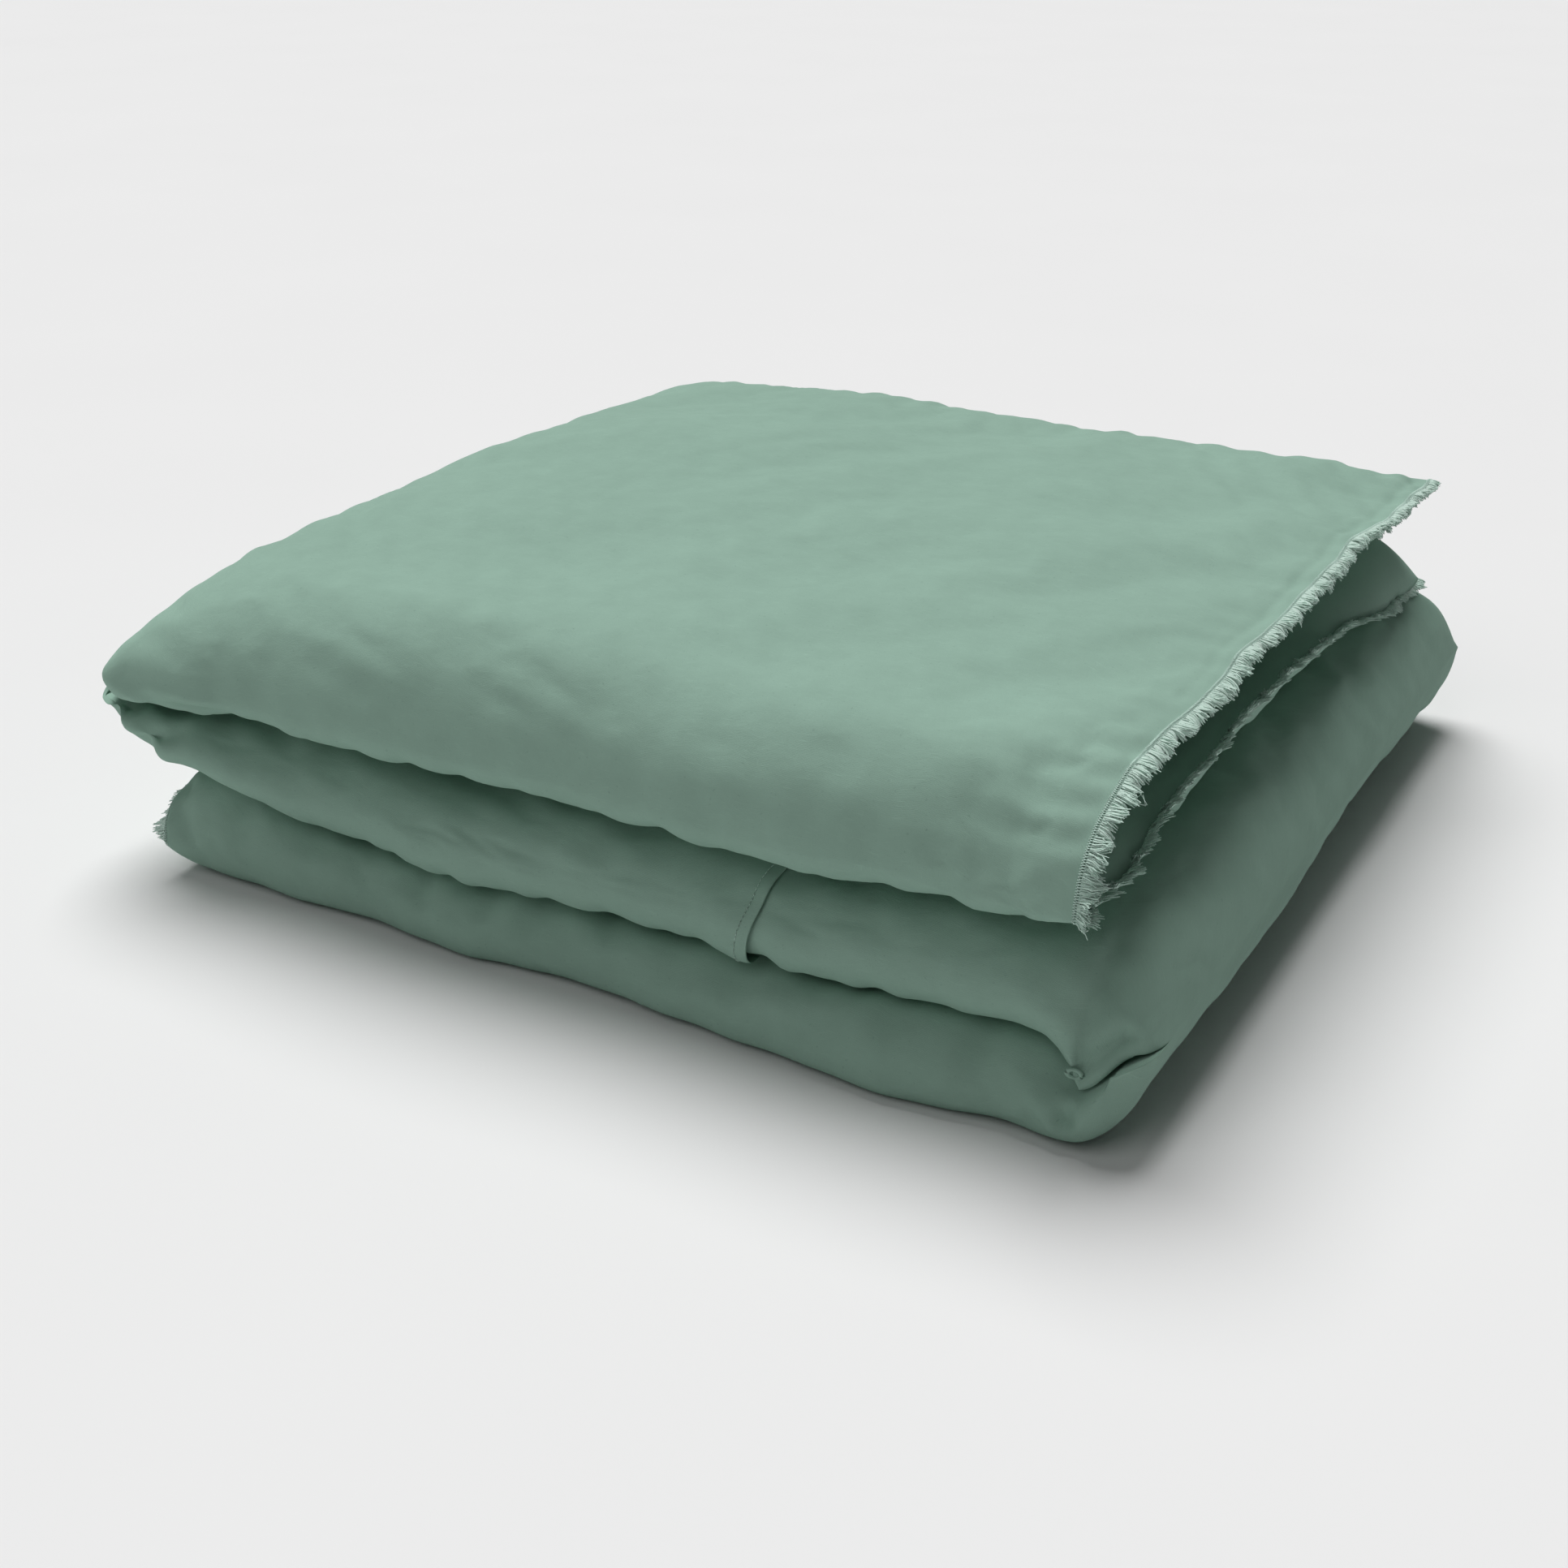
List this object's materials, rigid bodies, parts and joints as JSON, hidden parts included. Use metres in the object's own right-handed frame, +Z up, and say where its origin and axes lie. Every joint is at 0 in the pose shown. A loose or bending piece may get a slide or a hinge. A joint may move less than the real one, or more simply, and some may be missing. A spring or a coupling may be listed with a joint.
{
  "type": "duvet",
  "caption": "Folded duvet in a washed linen cover with fringed ends: halved, then folded in three, its two long folds hinged so that it opens flat.",
  "frame": {"origin": "middle of the folded duvet's footprint, on the surface it lies on", "axes": "+X along the duvet's length, from the left fold to the right fold; -Y is the front, where the half fold is; +Z up"},
  "size_m": [0.7, 0.65, 0.2],
  "materials": {
    "cover_cloth": "matte",
    "insert_cloth": "matte",
    "filling": "matte",
    "fringe": "matte",
    "cover_thread": "satin",
    "quilting_thread": "satin",
    "piping": "matte",
    "tape": "matte",
    "label": "satin"
  },
  "bodies": {
    "third_bottom": {"bottom_corner_ties": "tape", "bottom_cover_inner": "cover_cloth", "bottom_cover_outer": "cover_cloth", "bottom_filling_lower": "filling", "bottom_filling_upper": "filling", "bottom_fringe": "fringe", "bottom_fringe_seam": "cover_thread", "bottom_insert_loops": "tape", "bottom_insert_piping": "piping", "bottom_insert_shell": "insert_cloth", "bottom_quilting": "quilting_thread", "care_label": "label"},
    "third_middle": {"middle_cover_inner": "cover_cloth", "middle_cover_outer": "cover_cloth", "middle_filling_lower": "filling", "middle_filling_upper": "filling", "middle_insert_piping": "piping", "middle_insert_shell": "insert_cloth", "middle_quilting": "quilting_thread", "opening_flap_hem": "cover_cloth", "opening_hem_stitches": "cover_thread", "opening_underlap": "cover_cloth"},
    "third_top": {"top_corner_ties": "tape", "top_cover_inner": "cover_cloth", "top_cover_outer": "cover_cloth", "top_filling_lower": "filling", "top_filling_upper": "filling", "top_fringe": "fringe", "top_fringe_seam": "cover_thread", "top_insert_loops": "tape", "top_insert_piping": "piping", "top_insert_shell": "insert_cloth", "top_quilting": "quilting_thread"}
  },
  "joints": [
    {"name": "right_fold", "type": "hinge", "parent": "third_bottom", "child": "third_middle", "pos_m": [0.35, 0, 0.055], "axis": [0, 1, 0], "range_deg": [0, 180]},
    {"name": "left_fold", "type": "hinge", "parent": "third_middle", "child": "third_top", "pos_m": [-0.35, 0, 0.11], "axis": [0, -1, 0], "range_deg": [0, 180]}
  ]
}
